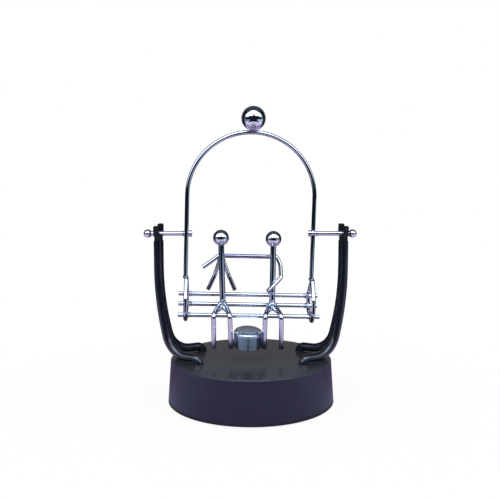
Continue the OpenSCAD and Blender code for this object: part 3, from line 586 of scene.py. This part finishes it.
def turned_iron(f):
    """Bare iron rod: turning marks round it and spots of rust."""
    marks = f.wave(f.along("z"), 0.22 * MM)
    rust = f.patches(f.coords(), 900.0, 0.60, 0.74, 5.0, 0.7)
    return {
        "Base Color": f.mix(rust * 0.7, colour(0.42, 0.42, 0.43), colour(0.16, 0.07, 0.035)),
        "Roughness": 0.30 + 0.10 * marks + 0.35 * rust,
        "Normal": f.bump(marks, 1.2e-5),
    }


def ground_ferrite(f):
    """Ground ferrite: dark, with straight grinding lines and chipped specks."""
    lines = f.noise(f.coords(scale=(0.05, 1, 1)), 3500.0, 4.0, 0.7)
    chips = f.specks(f.coords(), 1500.0, 0.08, 0.16)
    tint = f.mix(lines * 0.6 + chips * 0.4, colour(0.050, 0.050, 0.055), colour(0.13, 0.13, 0.14))
    return {
        "Base Color": tint,
        "Roughness": 0.48 + 0.14 * lines,
        "Normal": f.bump(lines, 8e-6, 0.8, f.bump(chips, 2e-5, 0.5)),
    }


finishes = {
    "chrome": material("wire_plating", wire_plating, Metallic=1.0),
    "chrome_ball": material("ball_plating", ball_plating, Metallic=1.0),
    "chrome_can": material("can_plating", can_plating, Metallic=1.0),
    "black_plastic": material("moulded_base", moulded_base),
    "black_tube": material("tube_lacquer", tube_lacquer, Specular_IOR_Level=0.2, Coat_Weight=1.0,
                           Coat_Roughness=0.11),
    "black_fork": material("fork_moulding", fork_moulding),
    "ferrite": material("ground_ferrite", ground_ferrite),
    "rubber": material("foot_rubber", foot_rubber),
    "cell_sleeve": material("cell_sleeve", cell_sleeve),
    "nickel": material("rolled_nickel", rolled(colour(0.62, 0.60, 0.55), "x"), Metallic=1.0),
    "screw_steel": material("zinc_screw", rolled(colour(0.58, 0.58, 0.61), "z", 0.32), Metallic=1.0),
    "iron": material("turned_iron", turned_iron, Metallic=1.0),
    "copper": material("winding_wire", winding, Metallic=0.8),
    "bobbin_plastic": material("bobbin_nylon", plain(colour(0.68, 0.65, 0.56), 0.45, spread=0.12)),
    "board": material("board_laminate", board_laminate),
    "black_parts": material("black_epoxy", plain(colour(0.020, 0.020, 0.022), 0.5, 4500.0, 6e-6)),
    "capacitor_sleeve": material("capacitor_sleeve", capacitor_sleeve),
    "resistor_body": material("resistor_bands", resistor_bands),
    "lead_sleeve": material("lead_sleeve", lead_sleeve),
}
# Nodes of plated wire whose finish isn't that of their slot
# Painted dark reflection of the black base on the lower shins
shin_painted_reflection = painted_dark_below(base_top + 9.0 * MM, base_top + 17.0 * MM, 0.95, colour(0.040, 0.052, 0.085))
leg_plating = material("leg_plating", shin_painted_reflection, Metallic=1.0)
wire_finishes = {
    "arms_wire": material("arm_plating", arm_plating, Metallic=1.0),
    "legs_left": leg_plating,
    "legs_right": leg_plating,
    "plaits": material("plait_plating", plait_plating, Metallic=1.0),
}
weld_finish = material("plated_weld", plated_weld, Metallic=1.0)
slot_of = {part["node"]: part["material_slot"] for part in frame["record"]["subparts"]}
for name, obj in nodes.items():
    obj.data.materials.clear()
    obj.data.materials.append(wire_finishes.get(name, finishes[slot_of[name]]))


def surface(name, places, faces):
    """A mesh object at the origin from arrays of places and faces."""
    mesh = bpy.data.meshes.new(name)
    mesh.from_pydata(places.tolist(), [], faces)
    mesh.shade_smooth()
    obj = bpy.data.objects.new(name, mesh)
    scene.collection.objects.link(obj)
    return obj


def grid_faces(rows, columns):
    """Faces of a tube of rows times columns places, with a closing place before its first row and one
    after its last: a square between neighbours, and a triangle at each closing place."""
    row, column = np.meshgrid(np.arange(rows - 1), np.arange(columns), indexing="ij")
    across = (column + 1) % columns
    low = 1 + row * columns
    squares = np.stack([low + column, low + across, low + columns + across, low + columns + column], axis=-1)
    turn = np.arange(columns)
    after = (turn + 1) % columns
    last = 1 + (rows - 1) * columns
    start = np.stack([np.zeros_like(turn), 1 + after, 1 + turn], axis=-1)
    end = np.stack([np.full_like(turn, last + columns), last + turn, last + after], axis=-1)
    return squares.reshape(-1, 4).tolist() + start.tolist() + end.tolist()


def closed_weld(name, start, rings, end):
    """A weld of the swing: rings of places between two closing places, with its finish and body."""
    rows, columns = rings.shape[:2]
    places = np.concatenate([[start], rings.reshape(-1, 3), [end]])
    piece = surface(name, places, grid_faces(rows, columns))
    piece.data.materials.append(weld_finish)
    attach(piece, "swing")


def across_of(along):
    """Two directions at right angles to a direction and to each other."""
    steep = abs(along[2]) >= 0.9
    helper = np.array([0.0, 1.0, 0.0]) if steep else np.array([0.0, 0.0, 1.0])
    side = unit(np.cross(helper, along))
    return side, np.cross(along, side)


def weld_spot(name, centre, along, size, seed):
    """A drop of weld metal: an ellipsoid, whose size is its reach along one direction and the two across it.
    At each pole angle and turn the reach is multiplied by 1 plus three small sines of both."""
    rows, columns = 14, 22
    pole = np.linspace(0.0, math.pi, rows + 2)[1:-1, None]
    turn = np.linspace(0.0, 2.0 * math.pi, columns, endpoint=False)[None, :]
    lump = 1.0 + 0.05 * np.sin(2 * turn + 3 * pole + seed) + 0.04 * np.sin(3 * turn - 2 * pole + 2.3 * seed)
    lump = lump + 0.02 * np.sin(5 * turn + 4 * pole + 4.1 * seed)
    side, up = across_of(along)
    rings = (np.cos(pole) * lump)[..., None] * along * size[0]
    rings = rings + (np.sin(pole) * np.cos(turn) * lump)[..., None] * side * size[1]
    rings = rings + (np.sin(pole) * np.sin(turn) * lump)[..., None] * up * size[2]
    closed_weld(name, centre + along * size[0], centre + rings, centre - along * size[0])


def weld_bead(name, path, thick, seed):
    """A bead of weld metal along a path: at each step a circle square to the path, whose radius runs through
    the three values of thick and is multiplied by 1 plus small sines along it and round it."""
    count, columns = len(path), 20
    step = np.linspace(0.0, 1.0, count)
    along = np.gradient(path, axis=0)
    along = along / np.linalg.norm(along, axis=1)[:, None]
    level = unit(np.cross(path[-1] - path[0], path[count // 2] - path[0]))
    side = np.cross(along, level)
    radius = np.interp(step, [0.0, 0.5, 1.0], thick) * (1.0 + 0.05 * np.sin(17.0 * step + seed))
    turn = np.linspace(0.0, 2.0 * math.pi, columns, endpoint=False)
    lump = 1.0 + 0.05 * np.sin(3 * turn[None, :] + 9.0 * step[:, None] + seed)
    ring = (np.cos(turn)[None, :] * lump)[..., None] * side[:, None, :]
    ring = ring + (np.sin(turn)[None, :] * lump)[..., None] * level
    closed_weld(name, path[0], path[:, None, :] + ring * radius[:, None, None], path[-1])


def ripple_seeds(step=1.7):
    """Endless seeds for the ripples of the welds, so that no two of them are alike."""
    seed = 0.0
    while True:
        seed += step
        yield seed


# Radii of the wires that are welded
rod_r, torso_r, leg_r, arm_r = 1.5 * MM, 2.1 * MM, 1.7 * MM, 1.2 * MM
axle_way = np.array([1.0, 0.0, 0.0])
seeds = ripple_seeds()


def at_height(bar_low, bar_high, z):
    """The point of a line at the height z, where the line runs through two places."""
    return bar_low + (bar_high - bar_low) * (z - bar_low[2]) / (bar_high[2] - bar_low[2])


def weld_bench_corners(side, sign):
    """The three bench rods in the corners of a side frame, welded on their inner side."""
    for rod in ("back_rod_upper", "back_rod_lower", "seat_rod"):
        corner = onto_bar(near_bar("bench_side_" + side, rod, 3.6 * MM), rod)
        centre = corner - axle_way * sign * (rod_r + 0.9 * MM)
        weld_spot(f"weld_{rod}_{side}", centre, axle_way, (2.0 * MM, 1.95 * MM, 1.85 * MM), next(seeds))


def weld_axle_stub(side, sign):
    """The axle stub against the arch's leg, on its outer side."""
    leg = points("arch")
    leg = leg[(leg[:, 0] * sign > 0) & (abs(leg[:, 2] - axle_z) < 60 * MM)]
    outer_x = (np.abs(leg[:, 0]).max() + 0.1 * MM) * sign
    weld_spot("weld_axle_" + side, np.array([outer_x, 0.0, axle_z]), axle_way,
              (0.8 * MM, 1.95 * MM, 1.95 * MM), next(seeds))


def weld_torso(torso):
    """A torso against the two back rods and the arms, which all run behind it."""
    low, high = ends(torso)
    for rod in ("back_rod_upper", "back_rod_lower"):
        _, rod_y, rod_z = ends(rod)[0]
        centre = at_height(low, high, rod_z)
        centre = centre + np.array([0.0, math.copysign(torso_r, rod_y - centre[1]), 0.0])
        weld_spot(f"weld_{torso}_{rod}", centre, axle_way, (2.4 * MM, 1.0 * MM, 1.1 * MM), next(seeds))
    arms_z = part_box("arms_wire")[1][2] - arm_r
    centre = at_height(low, high, arms_z) + np.array([0.0, torso_r, 0.0])
    weld_spot(f"weld_{torso}_arms_wire", centre, axle_way, (2.3 * MM, 1.0 * MM, 1.3 * MM), next(seeds))


def knees_of(side):
    """Where a figure's two legs part along X, and the middles of the foremost bits of its knees."""
    legs = points("legs_" + side)
    front = legs[legs[:, 2] > legs[:, 2].max() - 14.0 * MM]
    front = front[front[:, 1] < front[:, 1].min() + 1.0 * MM]
    split = front[:, 0].mean()
    return split, [front[front[:, 0] < split].mean(axis=0), front[front[:, 0] > split].mean(axis=0)]


def weld_hips(side, torso_low, up):
    """A bead inside the bend of a leg wire, which fills its upper end: its path is a parabola from thigh to
    thigh that turns just under the torso. A spot goes round the torso's foot."""
    seed = next(seeds)
    knees = [knee + np.array([0.0, leg_r, 0.0]) for knee in knees_of(side)[1]]
    crown = torso_low - up * leg_r
    left, right = (crown + 0.52 * (knee - crown) for knee in knees)
    bend = crown + 0.04 * (sum(knees) / 2 - crown)
    share = np.linspace(0.0, 1.0, 25)[:, None]
    path = (1 - share) ** 2 * left + 2 * share * (1 - share) * bend + share ** 2 * right
    weld_bead("weld_hips_" + side, path, (1.4 * MM, 2.3 * MM, 1.4 * MM), seed)
    weld_spot("weld_hip_top_" + side, torso_low + up * 0.1 * MM, up, (2.1 * MM, 2.3 * MM, 2.3 * MM), seed)


def weld_neck(side, up):
    """Round the torso where the head is pressed onto it."""
    head_low, head_high = (np.array(corner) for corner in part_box("head_" + side))
    head_r = (head_high[1] - head_low[1]) / 2
    neck = (head_low + head_high) / 2 - up * math.sqrt(head_r ** 2 - torso_r ** 2)
    weld_spot("weld_neck_" + side, neck, up, (0.6 * MM, 2.4 * MM, 2.4 * MM), next(seeds))


def weld_shin(side):
    """The inner shin against the can."""
    legs, split = points("legs_" + side), knees_of(side)[0]
    towards = can_place[0] - split
    shin = legs[(legs[:, 0] - split) * towards > 0]
    low = shin[shin[:, 2] < shin[:, 2].min() + 1.0 * MM].mean(axis=0)
    high = shin[shin[:, 2] > shin[:, 2].max() - 6.0 * MM].mean(axis=0)
    place = at_height(low, high, can_place[2] - 1.5 * MM)
    place = place + np.array([math.copysign(leg_r, towards), -0.6 * MM, 0.0])
    weld_spot("weld_shin_" + side, place, unit(can_axis), (1.8 * MM, 0.8 * MM, 0.9 * MM), next(seeds))


def weld_plaits():
    """The plaits' upper end against the arms."""
    crown = points("plaits")
    crown = crown[crown[:, 2] > crown[:, 2].max() - 2.0 * MM].mean(axis=0)
    arms_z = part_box("arms_wire")[1][2] - arm_r
    weld_spot("weld_plaits", np.array([crown[0], crown[1] - arm_r, arms_z]), axle_way,
              (2.0 * MM, 1.2 * MM, 1.4 * MM), 0.4)


for side, sign in {"left": -1.0, "right": 1.0}.items():
    torso_low, torso_high = ends("torso_" + side)
    torso_up = unit(torso_high - torso_low)
    weld_bench_corners(side, sign)
    weld_axle_stub(side, sign)
    weld_torso("torso_" + side)
    weld_hips(side, torso_low, torso_up)
    weld_neck(side, torso_up)
    weld_shin(side)
weld_plaits()

# Stage: a pale floor, and the colours of the studio that metal and gloss show
floor_corners = 3.0 * np.array([(-1, -1, 0), (1, -1, 0), (1, 1, 0), (-1, 1, 0)])
floor = surface("floor", floor_corners, [(0, 1, 2, 3)])

white = colour(1.0, 1.0, 1.0)
room_dark = colour(0.007, 0.011, 0.018)
room_back = colour(0.17, 0.175, 0.19)
room_above = colour(0.055, 0.062, 0.085)
room_left = colour(0.16, 0.21, 0.30)
room_right = colour(0.46, 0.56, 0.72)
front_low = colour(1.00, 1.02, 1.08)
front_high = colour(2.2, 2.5, 3.0)
soft_box = colour(5.4, 6.6, 8.6)
table_near = colour(0.42, 0.35, 0.60)
table_far = colour(0.82, 0.70, 0.95)
table_beside = colour(0.70, 0.76, 1.05)
shade_near = colour(0.42, 0.24, 0.52)
shade_far = colour(0.10, 0.065, 0.15)


def angle_cosine(degrees):
    return math.cos(math.radians(degrees))


def build_floor():
    """White for the camera with the toy's shadow in it. For metal and gloss it is a lavender table with
    purple shade behind, and past its edge a dark room in front and pale walls beside it.

    The dark room starts a quarter of a metre in front. It reaches 62 degrees to both sides, 38 degrees in
    the middle distance and 80 degrees far away.
    """
    made = bpy.data.materials.new("pale_floor")
    made.use_nodes = True
    f = Finish(made.node_tree)
    x, y, _ = f.parts(f.coords())
    away = f.length(x, y)
    forward = -y / f.most(away, 0.001)
    sideways = x / f.most(away, 0.001)
    start, middle, far = angle_cosine(62), angle_cosine(38), angle_cosine(80)
    narrowed, widened = f.fade(away, 0.32, 0.48), f.fade(away, 0.85, 1.25)
    limit = start + (middle - start) * narrowed + (far - middle) * widened
    in_front = f.fade(forward - limit, -0.08, 0.08) * f.fade(away, 0.25, 0.31)
    behind = f.under(forward, -0.35, 0.0)
    near = f.mix(f.fade(away, 0.08, 0.28), table_near, table_far)
    near = f.mix(f.band(abs(sideways), 0.55, 1.3, 0.35) * 0.6, near, table_beside)
    shade = f.mix(f.fade(away, 0.10, 0.34), shade_near, shade_far)
    table = f.mix(behind, near, shade)
    walls = f.mix(f.fade(sideways, -0.3, 0.3), room_left, room_right)
    walls = f.mix(f.fade(away, 0.36, 0.56), table, walls)
    walls = f.mix(behind * f.fade(away, 0.34, 0.50), walls, room_dark)
    room = f.mix(in_front, walls, room_dark)
    pale = f.node("ShaderNodeBsdfDiffuse", {}, {"Color": colour(0.90, 0.90, 0.92)})
    cleared = f.node("ShaderNodeEmission", {}, {"Color": white, "Strength": 1.0})
    mirrored = f.node("ShaderNodeEmission", {}, {"Color": room, "Strength": 1.0})
    clear = f.ray("Is Camera Ray") * f.fade(away, 0.08, 0.26, 0.90, 1.0)
    shown = f.node("ShaderNodeMixShader", {}, {0: clear, 1: pale, 2: cleared})
    shown = f.node("ShaderNodeMixShader", {}, {0: f.ray("Is Glossy Ray"), 1: shown, 2: mirrored})
    f.node("ShaderNodeOutputMaterial", {}, {"Surface": shown})
    return made


floor.data.materials.append(build_floor())


def build_world():
    """White for the camera, even soft light for the surfaces, and a studio for metal and gloss to show.

    The studio is white in front, with a brighter soft box high up and an uneven dark skyline that is
    highest straight ahead. It is grey-blue low at the sides, and dark behind and overhead.
    """
    world = bpy.data.worlds.new("studio")
    world.use_nodes = True
    scene.world = world
    f = Finish(world.node_tree)
    look = f.node("ShaderNodeTexCoord", out="Generated")
    x, y, z = f.parts(look)
    ahead = -y / f.math("SQRT", f.most(x * x + y * y, 0.0001))
    behind = f.fade(y + 0.30 * z + 0.10 * f.fade(z, 0.3, 0.9), -0.05, 0.05)
    back = f.mix(f.fade(y, 0.62, 0.88), room_dark, room_back)
    back = f.mix(f.fade(z, 0.60, 0.80), back, room_above)
    walls = f.mix(f.fade(x, -0.3, 0.3), room_left, room_right)
    low_beside = f.under(z, 0.05, 0.32) * f.under(ahead, 0.30, 0.60)
    front = f.mix(low_beside, f.mix(f.fade(z, 0.15, 0.50), front_low, front_high), walls)
    in_box = f.band(z, 0.70, 1.04, 0.08) * f.under(abs(x), 0.30, 0.42)
    front = f.mix(in_box, front, soft_box)
    slope = 0.14 * f.fade(ahead, 0.05, 0.22) + 0.18 * f.fade(ahead, 0.50, 0.85)
    peak = 0.34 * f.under(abs(x - 0.06), 0.09, 0.15)
    ragged = 0.16 * (f.noise(look, 3.4, 4.0, 0.6) - 0.5) * f.fade(ahead, 0.30, 0.60)
    skyline = slope + peak + ragged
    front = f.mix(f.under(z - skyline, -0.02, 0.02), front, room_dark)
    studio = f.mix(behind, front, back)
    even = f.node("ShaderNodeBackground", {}, {"Color": white, "Strength": 0.50})
    mirrored = f.node("ShaderNodeBackground", {}, {"Color": studio, "Strength": 1.0})
    cleared = f.node("ShaderNodeBackground", {}, {"Color": white, "Strength": 1.0})
    shown = f.node("ShaderNodeMixShader", {}, {0: f.ray("Is Glossy Ray"), 1: even, 2: mirrored})
    shown = f.node("ShaderNodeMixShader", {}, {0: f.ray("Is Camera Ray"), 1: shown, 2: cleared})
    f.node("ShaderNodeOutputWorld", {}, {"Surface": shown})


build_world()


def soft_lamp(name, place, aim, size, power):
    """A square lamp that only lights: metal and gloss show the studio instead."""
    data = bpy.data.lights.new(name, "AREA")
    data.size = size
    data.energy = power
    lamp = bpy.data.objects.new(name, data)
    lamp.location = place
    lamp.rotation_euler = (Vector(aim) - Vector(place)).to_track_quat("-Z", "Y").to_euler()
    lamp.visible_glossy = False
    scene.collection.objects.link(lamp)


soft_lamp("key_lamp", (-0.5, -0.7, 0.9), (0, 0, 0.08), 0.7, 5.0)
soft_lamp("fill_lamp", (0.7, -0.5, 0.6), (0, 0, 0.08), 0.7, 2.5)
soft_lamp("top_lamp", (0.0, 0.1, 1.2), (0, 0, 0.03), 0.8, 4.0)
scene.view_settings.view_transform = "Standard"
